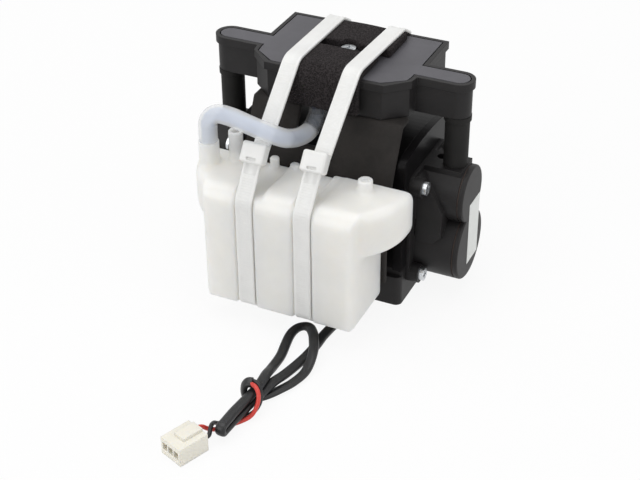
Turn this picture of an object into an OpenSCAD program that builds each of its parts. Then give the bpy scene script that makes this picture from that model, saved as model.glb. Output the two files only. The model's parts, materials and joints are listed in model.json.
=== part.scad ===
// Twin diaphragm air pump strapped to its air tank, with a manifold, a hose and a plug lead.
// Millimetres. X runs from head to head, the tank is on the -Y side and Z is up.
// The origin is on the underside of the base, below the pump axis.

/* [Case] */
// Height of the pump axis above the base underside
axis_z = 35; // [34.5:0.1:35.5]
// Half length of the case, from the origin to an end face
case_hx = 40; // [39.5:0.1:40.5]
// Height of the arched case top above the base underside
crown_z = 73.6; // [73:0.1:74]
// Radius of the arch
case_r = 140; // [130:5:150]
// Half depth of the case
case_hy = 25; // [24.5:0.1:25.2]
// Wall of the case shell
case_wall = 2.5; // [2:0.1:2.5]
// Half depth of the base block
base_hy = 27; // [26.5:0.1:27]
// Height of the ledge around the base block
base_h = 14.5; // [13.5:0.5:15]

/* [Drive] */
// Travel of the magnet carrier to either side
stroke = 1.5; // [1:0.1:1.5]
// Half width of a core pole, along X
pole_hx = 5.2; // [4.5:0.1:5.2]
// Half height of the core stacks
core_hz = 11; // [10:0.5:11]
// Air gap between the carrier and the poles
air_gap = 1.7; // [1.2:0.1:2]

/* [Heads] */
// Outer face of the end caps
cap_x = 61.7; // [61.2:0.1:62.5]
// Radius of the upper lobe of a head
upper_r = 12.9; // [12.5:0.1:13]
// Height of the upper lobe above the axis
upper_dz = 13.6; // [13.4:0.1:13.8]
// Radius of the lower lobe of a head
lower_r = 16.2; // [16:0.1:16.5]
// Depth of the lower lobe below the axis
lower_dz = 12.3; // [12.2:0.1:12.5]
// Distance of the head screws from the axis, along Y
screw_dy = 17; // [16.5:0.1:17]
// Distance of the head screws from the axis, along Z
screw_dz = 22; // [21.8:0.1:22.2]

/* [Manifold] */
// Top of the manifold above the base underside
mani_top = 102.5; // [102:0.1:103]
// Height of the manifold box
mani_h = 16.4; // [16.2:0.1:16.6]
// Half width of the manifold box between its ears
mani_hx = 37; // [36.6:0.1:37.4]
// Back edge of the manifold
mani_back = 30.8; // [30:0.1:31]
// Front edge of the manifold
mani_front = -19.6; // [-20:0.1:-19.4]
// Distance of the risers from the centre
riser_x = 53.3; // [53:0.1:53.6]

/* [Tank] */
// Front face of the tank
tank_front = -66.9; // [-67.5:0.1:-66.5]
// Back face of the tank
tank_back = -35; // [-35.5:0.1:-35]
// Bottom of the tank
tank_bottom = 10; // [9.5:0.1:10.5]
// Top of the tank
tank_top = 66; // [65.8:0.1:66.2]
// Half width of the lower tank body
tank_hx = 34.8; // [34.4:0.1:35.2]
// Half width across the side wings
wing_hx = 48; // [47.6:0.1:48.4]
// Underside of the side wings
wing_z = 42.5; // [42:0.1:43.5]
// Wall of the tank
tank_wall = 1.6; // [1.2:0.1:1.8]

/* [Ties and foam] */
// Distance of the cable ties from the centre
tie_x = 14; // [13.5:0.1:14.2]
// Width of a cable tie
tie_w = 7.6; // [7:0.1:7.8]
// Thickness of a cable tie
tie_t = 1.4; // [1.2:0.1:1.6]
// Thickness of the foam strips
foam_t = 3.5; // [3:0.1:4]

/* [Hose and lead] */
// Outside diameter of the hose
hose_d = 8; // [7.5:0.1:8]
// Bore of the hose
hose_bore = 5.5; // [5.3:0.1:5.6]
// Width of the flat lead
lead_w = 4.4; // [4:0.1:4.4]
// Thickness of the flat lead
lead_t = 2.6; // [2.2:0.1:2.6]
// Diameter of a bare wire
wire_d = 1.8; // [1.6:0.1:1.8]

/* [Hidden] */
$fn = 64;
eps = 0.01;
gap = 0.05;

// Heights and stations that follow from the driving sizes
upper_z = axis_z + upper_dz;
lower_z = axis_z - lower_dz;
mani_bottom = mani_top - mani_h;
shelf_z = upper_z + upper_r + 0.5;
seam_z = 18;
base_floor = 4;
cavity_hx = case_hx - 4;
cavity_hy = case_hy - case_wall;
mid_crown = crown_z - 1.6;
rim_x = cavity_hx + 0.4;

// Stations along X on a head, from the case outwards
dia_in = case_hx - 1.5;
dia_out = case_hx - 0.1;
flange_x = case_hx + 1.6;
chamber_x = case_hx + 3.5 + stroke;
bore_x = case_hx + 8.6;
boss_x = case_hx + 5.6;
gasket_x = cap_x - 2.7;
cap_in = cap_x - 2.1;
hole_r = 16;
rim_r = 20;
chamber_r = 13.2;
outlet_z = axis_z + 9.5;
inlet_z = axis_z - 7.5;
port_r = 2.6;
disc_r = 4.2;
disc_t = 0.8;

// The post and screw that hold the manifold to the case
post_at = [1.5, 3.6];

// The manifold nipple, and the tank's hose spigot, free spigot and blind stub
nipple_at = [-3.5, -17];
spigot_at = [-40, -47.5];
spigot_top = 76;
outlet_at = [-30.2, -41.6];
outlet_top = 80;
stub_at = [29.6, -42.5];
stub_top = 71.2;

// The two pegs at the back of the tank's top, as x and height
pegs = [[-14.2, 2.6], [-4.7, 1.6]];

// Underside groove for the ties, and their channels down the tank front and grooves over its top
groove_z = 2.2;
channel_d = 2;
channel_w = 9.2;
top_floor = tank_top - 2;
top_grooves = [[-19.3, -7.6], [7, 12.5]];
wing_r = 29;
tank_top_r = 6;
tank_low_r = 4;

// Lean of the ties, as a step along X for each step along Y
left_lean = 0.011;
right_lean = 0.036;

// How far the bend of the foam and ties is drawn in from the front corner of the manifold
bend_in = 4;

// The rounds that a tie is drawn around, as [y, z, radius]
tie_rounds = [
    [base_hy, groove_z, 0],
    [mani_back, mani_top, 0],
    [25, mani_top + foam_t, 0],
    [mani_front + bend_in, mani_top - bend_in, foam_t + bend_in],
    [tank_front + channel_d + tank_top_r, tank_top - tank_top_r, tank_top_r],
    [tank_front + channel_d + tank_low_r, tank_bottom + tank_low_r, tank_low_r],
    [-base_hy, groove_z, 0]];

// Where the lead leaves the base, as x and z
grommet_at = [23, 6];

// Route of the hose, from the manifold nipple to the tank spigot
hose_route = [
    [-3.5, -17, 86], [-3.5, -17, 82.6], [-4, -19.5, 78.8], [-4.7, -25, 76.5], [-5.3, -33, 78],
    [-5.6, -41, 81.5], [-6, -46.4, 84.6], [-10.5, -51.6, 88.8], [-18, -53, 91.3], [-26.5, -52, 92.4],
    [-34.2, -49.2, 90.6], [-39.2, -47.6, 86.2], [-40, -47.5, 81], [-40, -47.5, 76.1]];

// Route of the flat lead, from the grommet, out and back in a fold, then round a loop to its end
lead_route = [
    [23, -30.6, 6], [23, -36, 5.2], [22, -45, 2.2], [20, -54, 1.5], [19.2, -62, 1.5],
    [19.2, -69, 1.5], [18.6, -77.5, 1.5], [17, -86, 1.5], [15.6, -94, 1.5], [14.4, -101, 2],
    [13, -108, 3.5], [11.6, -114.5, 3.7], [10.2, -121, 3.6], [9.2, -127.5, 3.6], [8.6, -133.5, 3.5],
    [8.2, -136.6, 5.1], [8, -133.5, 6.7], [8.2, -127.5, 6.8], [9.3, -120.5, 6.8],
    [10.8, -114, 6.9], [11.4, -107, 6.8], [10.6, -100, 5.4], [9.8, -92, 3], [8.8, -82, 1.6],
    [7, -73, 1.5], [6, -65.5, 1.5], [7.6, -59.4, 1.6], [13, -61.5, 3.2], [18, -68.5, 5],
    [21.6, -77.5, 4.6], [23, -86, 2], [22, -94, 1.5], [20.4, -100.5, 1.5], [18.8, -106, 1.6]];

// Routes of the two wires, round the folded lead once and on to the plug
red_route = [
    [17.5, -106.6, 1.4], [16.5, -109, 1.1], [12.5, -111, 1], [8.2, -111, 1.1], [5.4, -109.5, 4.2],
    [7.6, -107.3, 8.6], [11.4, -107.8, 9.4], [14.8, -109.9, 7.8], [15.4, -113.2, 4],
    [14.4, -119, 2.4], [12.8, -125, 1.2], [9, -129.5, 1], [5, -133.4, 1.4], [2.4, -135.9, 3.5],
    [0.97, -138.2, 4.4], [0.09, -140.4, 4.4]];
black_route = [
    [19.9, -106.8, 1.4], [18.6, -110.8, 1], [13, -113.6, 1], [7.6, -113.6, 1.1], [4.6, -111.8, 4.2],
    [7, -109.6, 8.6], [11, -110.2, 9.4], [15, -113.2, 7.8], [17.6, -116.4, 4.2],
    [17, -121.5, 1.6], [14.6, -127, 1], [10.8, -132, 1], [8.8, -136, 1.4], [8, -138.4, 3.5],
    [7.1, -140.7, 4.4], [6.22, -142.9, 4.4]];

// Plug housing: its near corner on the floor, its heading and its size
plug_at = [3.4, -156.8, 0];
plug_turn = 68.3;
plug_l = 13.8;
plug_w = 11.6;
plug_h = 8;
plug_ways = [2.5, 5.8, 9.1];
plug_way_z = 4.4;

// Vectors, smooth curves and outlines
function unit(v) = v / norm(v);

// Point at fraction t of the smooth curve between points i and i + 1
function spline_at(p, i, t) =
    let (a = p[max(i - 1, 0)], b = p[i], c = p[i + 1], d = p[min(i + 2, len(p) - 1)])
    b + (c - a) * t / 2 + (2 * a - 5 * b + 4 * c - d) * t * t / 2
    + (3 * b - a - 3 * c + d) * pow(t, 3) / 2;
function spline(p, n) = [
    for (i = [0 : len(p) - 2]) for (k = [0 : n - 1]) spline_at(p, i, k / n),
    p[len(p) - 1]];
function tangents(c) = [
    for (i = [0 : len(c) - 1]) unit(c[min(i + 1, len(c) - 1)] - c[max(i - 1, 0)])];

// A side vector carried along the curve without twist
function carry(t, n, i = 0) =
    i >= len(t) ? [] : let (m = unit(n - (n * t[i]) * t[i])) concat([m], carry(t, m, i + 1));
function ring_points(c, start, w, h, sides) =
    let (t = tangents(c), s = carry(t, start))
    [for (i = [0 : len(c) - 1]) for (k = [0 : sides - 1])
        let (a = 360 * k / sides) c[i] + w / 2 * cos(a) * s[i] + h / 2 * sin(a) * cross(t[i], s[i])];
function wall_faces(rings, sides, first, flip) = [
    for (i = [0 : rings - 2]) for (k = [0 : sides - 1]) for (half = [0, 1])
        let (a = first + i * sides + k, b = first + i * sides + (k + 1) % sides)
        let (f = half == 0 ? [a, a + sides, b + sides] : [a, b + sides, b])
        flip ? [f[2], f[1], f[0]] : f];

// Least distance between the surfaces of stretches of a cord that are far apart along it
function self_gap(p, rings, sides, apart) = min([
    for (i = [0 : rings - 1 - apart]) for (j = [i + apart : rings - 1])
        for (k = [0 : sides - 1]) for (m = [0 : sides - 1]) norm(p[i * sides + k] - p[j * sides + m])]);

function arc(x, y, r, from) = r == 0 ? [[x, y]] : [
    for (k = [0 : 6]) [x + r * cos(from + 15 * k), y + r * sin(from + 15 * k)]];

// Rectangle with its own radius on each corner: lower right, upper right, upper left, lower left
function round_rect(x0, x1, y0, y1, r) = concat(
    arc(x1 - r[0], y0 + r[0], r[0], -90), arc(x1 - r[1], y1 - r[1], r[1], 0),
    arc(x0 + r[2], y1 - r[2], r[2], 90), arc(x0 + r[3], y0 + r[3], r[3], 180));

// Arched outline of the case, with rounded shoulders
function arch_z(y, top) = top - y * y / (2 * case_r);
function arch(hy, top, bottom) =
    let (r = 4, edge = hy - r, z = arch_z(edge, top) - r)
    concat([[hy, bottom]], arc(edge, z, r, 0),
        [for (k = [-5 : 5]) [-k * edge / 6, arch_z(k * edge / 6, top)]],
        arc(-edge, z, r, 90), [[-hy, bottom]]);

// Outward normal of the straight run between two rounds of a taut band
function band_normal(a, b) =
    let (v = [b[0] - a[0], b[1] - a[1]], u = unit(v), s = (a[2] - b[2]) / norm(v))
    [u[1], -u[0]] * sqrt(1 - s * s) + u * s;

// Outline of a taut band at distance d outside its rounds
function band(c, d) = [
    for (i = [0 : len(c) - 1])
        let (n0 = band_normal(c[(i + len(c) - 1) % len(c)], c[i]))
        let (n1 = band_normal(c[i], c[(i + 1) % len(c)]))
        let (a0 = atan2(n0[1], n0[0]), turn = (atan2(n1[1], n1[0]) - a0 + 720) % 360)
        for (k = [0 : 5]) let (a = a0 + turn * k / 5)
            [c[i][0] + (c[i][2] + d) * cos(a), c[i][1] + (c[i][2] + d) * sin(a)]];

// Placing
module both() {
    children();
    mirror([1, 0, 0]) children();
}
module left() mirror([1, 0, 0]) children();
module bar_x(x0, x1, y, z, r) translate([x0, y, z]) rotate([0, 90, 0]) cylinder(h = x1 - x0, r = r);
module bar_y(y0, y1, x, z, r) translate([x, y1, z]) rotate([90, 0, 0]) cylinder(h = y1 - y0, r = r);
module bar_z(z0, z1, x, y, r) translate([x, y, z0]) cylinder(h = z1 - z0, r = r);
module block(x0, x1, y0, y1, z0, z1) translate([x0, y0, z0]) cube([x1 - x0, y1 - y0, z1 - z0]);
module spin_x() translate([0, 0, axis_z]) rotate([0, 90, 0]) rotate_extrude() children();
module along_x(x0, x1) translate([x0, 0, 0]) rotate([90, 0, 90]) linear_extrude(x1 - x0) children();
module along_y(y0, y1) translate([0, y1, 0]) rotate([90, 0, 0]) linear_extrude(y1 - y0) children();
module along_z(z0, z1) translate([0, 0, z0]) linear_extrude(z1 - z0) children();
module screw_places(r, x0, x1)
    both() for (y = [-screw_dy, screw_dy]) for (z = [axis_z - screw_dz, axis_z + screw_dz])
        bar_x(x0, x1, y, z, r);
module tie_plane(x, lean) multmatrix([[1, lean, 0, x], [0, 1, 0, 0], [0, 0, 1, 0]]) children();
module tie_planes() {
    tie_plane(-tie_x, left_lean) children();
    tie_plane(tie_x, right_lean) children();
}
module cord(route, steps, start, w, h, sides) {
    c = spline(route, steps);
    rings = len(c);
    caps = [[for (k = [0 : sides - 1]) k], [for (k = [0 : sides - 1]) rings * sides - 1 - k]];
    polyhedron(ring_points(c, start, w, h, sides), concat(wall_faces(rings, sides, 0, false), caps));
}

// Case: the base block and the arched shell on it
module seat_recess() both() bar_x(case_hx - 1.6, case_hx + 1, 0, axis_z, rim_r + 0.2);
module base_block() color("#2c2a2b") {
    difference() {
        union() {
            along_z(0, base_h) polygon(round_rect(-case_hx, case_hx, -base_hy, base_hy, [3, 3, 3, 3]));
            block(-case_hx, case_hx, -case_hy, case_hy, base_h - 1, seam_z);
        }
        block(-cavity_hx, cavity_hx, -cavity_hy, cavity_hy, base_floor, seam_z + 1);
        tie_planes() block(-channel_w / 2, channel_w / 2, -base_hy - 1, base_hy + 1, -1, groove_z);
        seat_recess();
        screw_places(1.45, 30, case_hx + 1);
        bar_y(-base_hy - 1, -cavity_hy + 1, grommet_at[0], grommet_at[1], 3);
    }
    for (x = [-22, 22]) for (y = [-19, 19])
        bar_z(base_floor - 1, axis_z - core_hz - gap, x, y, 3);
}
module case_shell() color("#232122") difference() {
    union() {
        difference() {
            union() {
                along_x(-case_hx, case_hx) polygon(arch(case_hy, mid_crown, seam_z));
                both() along_x(rim_x, case_hx) polygon(arch(case_hy, crown_z, seam_z));
            }
            along_x(-cavity_hx, cavity_hx) polygon(arch(cavity_hy, mid_crown - case_wall, seam_z - 1));
        }
        both() block(cavity_hx, case_hx, -case_hy - 1.5, -case_hy + 1, seam_z, 46);
        bar_z(mid_crown - 2, mani_bottom - gap, post_at[0], post_at[1], 5.5);
    }
    both() bar_x(cavity_hx - 1, case_hx + 1, 0, axis_z, hole_r);
    seat_recess();
    screw_places(1.45, 30, case_hx + 1);
    bar_z(76, mani_bottom + 1, post_at[0], post_at[1], 1.5);
}

// Drive: two E-shaped cores with a coil each, and the magnet carrier between them
carrier_hy = 4.5;
core_tip = carrier_hy + air_gap;
core_back = cavity_hy - 0.5;
coil_hx = 15.5;
coil_hz = 16.5;
module core() difference() {
    block(-26, 26, -core_back, -core_tip, axis_z - core_hz, axis_z + core_hz);
    both() block(pole_hx, 18, -core_back + 6, 0, 0, 90);
}
module bobbin_tube(g) block(-pole_hx - g, pole_hx + g, -16, 0, axis_z - core_hz - g, axis_z + core_hz + g);
module bobbin() difference() {
    union() {
        intersection() {
            bobbin_tube(1.2);
            block(-30, 30, -15.8, -core_tip - 0.6, 0, 90);
        }
        for (y = [-15.8, -core_tip - 1.6])
            block(-coil_hx - 0.5, coil_hx + 0.5, y, y + 1, axis_z - coil_hz - 0.5, axis_z + coil_hz + 0.5);
    }
    translate([0, 1, 0]) bobbin_tube(0.2);
    translate([0, -2, 0]) bobbin_tube(0.2);
}
module coil() difference() {
    block(-coil_hx, coil_hx, -14.75, -core_tip - 1.65, axis_z - coil_hz, axis_z + coil_hz);
    bobbin_tube(1.25);
}
module rear() mirror([0, 1, 0]) children();
module front_core() color("#7d7f84") core();
module rear_core() color("#7d7f84") rear() core();
module front_bobbin() color("#d8d2c0") bobbin();
module rear_bobbin() color("#d8d2c0") rear() bobbin();
module front_coil() color("#b06a3a") coil();
module rear_coil() color("#b06a3a") rear() coil();

magnet_x = 11.5;
magnet_hx = 6.5;
magnet_hz = 7;
disc_x = dia_in - gap;
module carrier_half() {
    block(0, 24, -carrier_hy, carrier_hy, axis_z - 9, axis_z + 9);
    bar_x(24 - eps, disc_x - 1.5, 0, axis_z, 3);
}
module magnet_carrier() color("#e6e2d6") difference() {
    both() carrier_half();
    both() {
        block(magnet_x - magnet_hx - gap, magnet_x + magnet_hx + gap, -9, 9,
            axis_z - magnet_hz - gap, axis_z + magnet_hz + gap);
        bar_x(28, case_hx, 0, axis_z, 1.45);
    }
}
module magnet() block(magnet_x - magnet_hx, magnet_x + magnet_hx, -carrier_hy, carrier_hy,
    axis_z - magnet_hz, axis_z + magnet_hz);
module magnet_left() color("#4a4a4e") left() magnet();
module magnet_right() color("#4a4a4e") magnet();
module washer(x0, x1, r) difference() {
    bar_x(x0, x1, 0, axis_z, r);
    bar_x(x0 - 1, x1 + 1, 0, axis_z, 1.6);
}
module inner_discs() color("#c4c6c9") both() washer(disc_x - 1.5, disc_x, 13);
module outer_discs() color("#c4c6c9") both() washer(dia_out + gap, dia_out + 1.2, 12);
module rod_screws() color("#d9dade") both() {
    bar_x(29, dia_out + 1.3, 0, axis_z, 1.4);
    bar_x(dia_out + 1.2, dia_out + 2.4, 0, axis_z, 3);
}

// Diaphragms: a clamped rim and a half-round fold that rolls as the carrier moves
fold_in = 13.3;
fold_out = 15.7;
fold_h = 1.2;
function fold_x(r) = r < fold_in || r > fold_out ? 0
    : -fold_h * sin(180 * (r - fold_in) / (fold_out - fold_in));
dia_radii = [1.6, for (k = [0 : 8]) fold_in + (fold_out - fold_in) * k / 8, rim_r];
module diaphragm() spin_x() polygon(concat(
    [for (r = dia_radii) [r, dia_in + fold_x(r)]],
    [for (i = [1 : len(dia_radii)]) let (r = dia_radii[len(dia_radii) - i]) [r, dia_out + fold_x(r)]]));
module diaphragm_left() color("#33302e") left() diaphragm();
module diaphragm_right() color("#33302e") diaphragm();

// Heads: flange, screw bosses, web and two lobes, bored for the diaphragm and the valve chambers
module head() difference() {
    union() {
        along_x(case_hx, flange_x) polygon(round_rect(-21, 21, axis_z - 27, axis_z + 27, [5, 5, 5, 5]));
        for (y = [-screw_dy, screw_dy]) for (z = [axis_z - screw_dz, axis_z + screw_dz])
            bar_x(case_hx, boss_x, y, z, 4.3);
        along_y(-15.2, 15.2) polygon([
            [flange_x - 1, axis_z - 15], [case_hx + 6, axis_z - 10], [53.6, axis_z - 2.6],
            [53.6, axis_z + 10], [50.2, axis_z + 16.2], [46.7, axis_z + 20.8],
            [44.3, axis_z + 23.4], [flange_x - 1, axis_z + 25.5]]);
        bar_x(flange_x - 1, gasket_x, 0, upper_z, upper_r);
        bar_x(flange_x - 1, gasket_x, 0, lower_z, lower_r);
        block(flange_x, 58.5, -7, 7, upper_z + 6, shelf_z);
        bar_z(shelf_z - 1, shelf_z + 6, riser_x, 0, 3.1);
    }
    bar_x(case_hx - 1, flange_x, 0, axis_z, hole_r);
    bar_x(case_hx - 1, chamber_x, 0, axis_z, chamber_r);
    bar_x(bore_x, gasket_x + 1, 0, upper_z, upper_r - 2.3);
    bar_x(bore_x, gasket_x + 1, 0, lower_z, lower_r - 2.4);
    bar_x(chamber_x - 1, bore_x + 1, 0, outlet_z, port_r);
    bar_x(chamber_x - 1, bore_x + 1, 0, inlet_z, port_r);
    bar_x(chamber_x - 1, chamber_x + 1.9, 0, inlet_z, disc_r + 0.5);
    bar_z(upper_z, shelf_z + 7, riser_x, 0, 2);
    bar_z(shelf_z - 5, shelf_z + 1, 46, 3, 2.2);
    bar_y(10, lower_r + 2, 54, lower_z, 2.5);
    for (y = [-screw_dy, screw_dy]) for (z = [axis_z - screw_dz, axis_z + screw_dz]) {
        bar_x(case_hx - 1, boss_x + 1, y, z, 1.6);
        bar_x(boss_x, boss_x + 6, y, z, 3.3);
    }
}
module head_left() color("#2b2a2b") left() head();
module head_right() color("#2b2a2b") head();

// Valve discs that float in cages, one inlet and one outlet disc in each head
inlet_seat = chamber_x + 1.9;
module inlet_disc() bar_x(inlet_seat - gap - disc_t, inlet_seat - gap, 0, inlet_z, disc_r);
module outlet_disc() bar_x(bore_x + gap, bore_x + gap + disc_t, 0, outlet_z, disc_r);
module inlet_disc_left() color("#8a3b2e") left() inlet_disc();
module inlet_disc_right() color("#8a3b2e") inlet_disc();
module outlet_disc_left() color("#8a3b2e") left() outlet_disc();
module outlet_disc_right() color("#8a3b2e") outlet_disc();
module inlet_cages() color("#d8d2c0") both() difference() {
    bar_x(chamber_x - 0.6, chamber_x, 0, inlet_z, disc_r + 1.2);
    bar_x(chamber_x - 2, chamber_x + 1, 0, inlet_z, disc_r - 1.2);
}
module outlet_cages() color("#d8d2c0") both() difference() {
    bar_x(bore_x, bore_x + 2.8, 0, outlet_z, disc_r + 1.4);
    bar_x(bore_x - 1, bore_x + 2.1, 0, outlet_z, disc_r + 0.4);
    bar_x(bore_x, bore_x + 4, 0, outlet_z, disc_r - 1.2);
    block(bore_x + 0.6, bore_x + 1.6, -9, 9, outlet_z - 1.2, outlet_z + 1.2);
}

// End caps, their gaskets and the screws
module lobe_outline(inset) {
    translate([0, upper_z]) circle(r = upper_r - inset);
    translate([0, lower_z]) circle(r = lower_r - inset);
}
module cap_lobe(z, r) translate([0, 0, z - axis_z]) spin_x() polygon(concat(
    [[0, cap_in], [r, cap_in]],
    [for (k = [0 : 4]) [r - 1 + cos(22.5 * k), cap_x - 1 + sin(22.5 * k)]], [[0, cap_x]]));
module end_cap() {
    cap_lobe(upper_z, upper_r);
    cap_lobe(lower_z, lower_r);
}
module end_cap_left() color("#3a3736") left() end_cap();
module end_cap_right() color("#3a3736") end_cap();
module cap_gaskets() color("#6a5546") both() along_x(gasket_x, cap_in) difference() {
    lobe_outline(0.4);
    translate([0, upper_z]) circle(r = upper_r - 2.3);
    translate([0, lower_z]) circle(r = lower_r - 2.4);
}
module head_screws() color("#d9dade") difference() {
    union() {
        screw_places(1.4, cavity_hx - 2, boss_x + 0.1);
        screw_places(2.9, boss_x, boss_x + 2);
    }
    both() for (y = [-screw_dy, screw_dy]) for (z = [axis_z - screw_dz, axis_z + screw_dz]) {
        block(boss_x + 1, boss_x + 3, y - 2, y + 2, z - 0.4, z + 0.4);
        block(boss_x + 1, boss_x + 3, y - 0.4, y + 0.4, z - 2, z + 2);
    }
}
module end_label() color("#e4e6e2") block(cap_x, cap_x + 0.1, -2.5, 10.3, 13.4, 44);

// Risers and manifold
module riser() difference() {
    union() {
        bar_z(shelf_z, mani_bottom, riser_x, 0, 5.3);
        bar_z(mani_bottom - 2.4, mani_bottom, riser_x, 0, 5.9);
    }
    bar_z(shelf_z - 1, mani_bottom + 1, riser_x, 0, 3.15);
}
module riser_left() color("#1f1e1e") left() riser();
module riser_right() color("#1f1e1e") riser();
ear_r = 6.6;
ear_x = 60 - ear_r;
module mani_outline(i) {
    hx = mani_hx - i;
    polygon([
        [-hx, mani_back - i], [-hx, -6.6], [0.6 - hx, -10.8], [9.7 - hx, mani_front + i],
        [hx - 9.7, mani_front + i], [hx - 0.6, -10.8], [hx, -6.6], [hx, mani_back - i]]);
    translate([-ear_x, i - ear_r]) square([2 * ear_x, 2 * (ear_r - i)]);
    for (x = [-ear_x, ear_x])
        translate([x, 0]) circle(r = ear_r - i);
}
lid_z = mani_top - 2.3;
mani_floor = mani_bottom + 2.2;
module manifold_box() color("#2d2b2c") difference() {
    union() {
        along_z(mani_bottom, mani_top - 3.5) mani_outline(1);
        along_z(mani_top - 3.5, mani_top) mani_outline(0);
        both() bar_z(mani_bottom - 5.6, mani_bottom + 1, riser_x, 0, 3.1);
        bar_z(mani_bottom - 4, mani_bottom + 5, nipple_at[0], nipple_at[1], 2.4);
    }
    difference() {
        along_z(mani_floor, lid_z + eps) mani_outline(3.6);
        bar_z(mani_bottom, lid_z, post_at[0], post_at[1], 4.5);
    }
    along_z(lid_z, mani_top + 1) mani_outline(1.8);
    both() bar_z(mani_bottom - 7, mani_floor + 1, riser_x, 0, 2);
    bar_z(mani_bottom - 6, mani_bottom + 4, nipple_at[0], nipple_at[1], 1.4);
    bar_y(nipple_at[1], nipple_at[1] + 4, nipple_at[0], mani_bottom + 3.4, 1.4);
    bar_z(mani_bottom - 1, mani_top, post_at[0], post_at[1], 1.7);
}
module manifold_lid() color("#6d6c72") difference() {
    along_z(lid_z, mani_top) mani_outline(2.3);
    bar_z(lid_z - 1, mani_top + 1, post_at[0], post_at[1], 1.7);
}
module lid_screw() color("#d9dade") translate([post_at[0], post_at[1], 0]) difference() {
    union() {
        bar_z(76.5, mani_top + 0.1, 0, 0, 1.45);
        bar_z(mani_top, mani_top + 2, 0, 0, 3.2);
    }
    block(-2.2, 2.2, -0.4, 0.4, mani_top + 1, mani_top + 3);
    block(-0.4, 0.4, -2.2, 2.2, mani_top + 1, mani_top + 3);
}

// Foam strips under the ties, and the pad between case and tank
module foam_rear() color("#2a2728") difference() {
    block(-17, 20, 5, 25, mani_top, mani_top + foam_t);
    bar_z(mani_top - 1, mani_top + foam_t + 1, post_at[0], post_at[1], 4);
}
module foam_front() color("#2a2728") along_x(-17, 17) difference() {
    polygon(concat([[0, mani_top], [0, mani_top + foam_t]], arc(mani_front + bend_in, mani_top - bend_in, foam_t + bend_in, 90),
        [[mani_front - foam_t, mani_bottom + 1.4], [mani_front, mani_bottom + 1.4], [mani_front, mani_top]]));
}
pad_right = 36;
pad_left = -33;
pad_back = -10;
pad_top = mani_bottom - 0.3;
pad_t = 2.4;
module backing_pad() color("#35302d") difference() {
    intersection() {
        along_x(pad_left, pad_right) polygon([
            [pad_back, pad_top], [-19.4, pad_top], [-28.7, 66.2], [-32.4, 57], [-34.8, 47], [-34.8, 16],
            [-32.4, 16], [-32.4, 46.5], [-30.2, 56], [-26.3, 65.2], [-17.8, pad_top - pad_t],
            [pad_back, pad_top - pad_t]]);
        along_z(0, mani_bottom) polygon(round_rect(pad_left, pad_right, -40, pad_back, [0, 8, 8, 0]));
    }
    block(nipple_at[0] - 7, nipple_at[0] + 6, -30, pad_back + 1, 70.5, 90);
}

// Tank: a lower body and round-ended wings, hollow, with channels for the ties and spigots on top
module tank_form(g) intersection() {
    along_x(-60, 60) polygon(round_rect(tank_front + g, tank_back - g, tank_bottom + g, tank_top - g,
        [2.5 - g, 2 - g, 8 - g, 2.5 - g]));
    union() {
        intersection() {
            along_y(-80, -20) polygon(round_rect(g - tank_hx, tank_hx - g, tank_bottom + g, tank_top - 6,
                [3 - g, 0, 0, 3 - g]));
            along_z(0, 90) polygon(round_rect(g - tank_hx, tank_hx - g, tank_front + g, tank_back - g,
                [4 - g, 3 - g, 3 - g, 4 - g]));
        }
        intersection() {
            along_y(-80, -20) polygon(round_rect(g - wing_hx, wing_hx - g, wing_z + g, tank_top - g,
                [6 - g, 4 - g, 4 - g, 6 - g]));
            along_z(0, 90) polygon(round_rect(g - wing_hx, wing_hx - g, tank_front + g, tank_back - g,
                [wing_r - g, 0, 0, wing_r - g]));
        }
    }
}
module tie_channels() {
    tie_planes() along_x(-channel_w / 2, channel_w / 2) difference() {
        translate([-90, -20]) square([140, 140]);
        polygon(band(tie_rounds, 0));
    }
    for (x = top_grooves)
        block(x[0], x[1], -90, 0, top_floor, 90);
}
module tank() color("#e9e8e2") difference() {
    union() {
        difference() {
            tank_form(0);
            tie_channels();
        }
        bar_z(top_floor, spigot_top, spigot_at[0], spigot_at[1], 4.4);
        bar_z(top_floor, spigot_top + 6, spigot_at[0], spigot_at[1], 2.4);
        bar_z(tank_top - 1, outlet_top, outlet_at[0], outlet_at[1], 3.1);
        bar_z(tank_top - 1, stub_top, stub_at[0], stub_at[1], 3.1);
        for (p = pegs)
            bar_z(top_floor - 1, tank_top + p[1], p[0], tank_back - 2.6, 2);
    }
    intersection() {
        tank_form(tank_wall);
        along_x(-60, 60) polygon(round_rect(tank_front + channel_d + tank_wall, tank_back, tank_bottom,
            top_floor - tank_wall, [0, 0, 6, 5]));
    }
    bar_z(top_floor - 3, spigot_top + 7, spigot_at[0], spigot_at[1], 1.4);
    bar_z(top_floor - 3, outlet_top + 1, outlet_at[0], outlet_at[1], 1.9);
    bar_z(stub_top - 1.2, stub_top + 1, stub_at[0], stub_at[1], 1.6);
}

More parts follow.
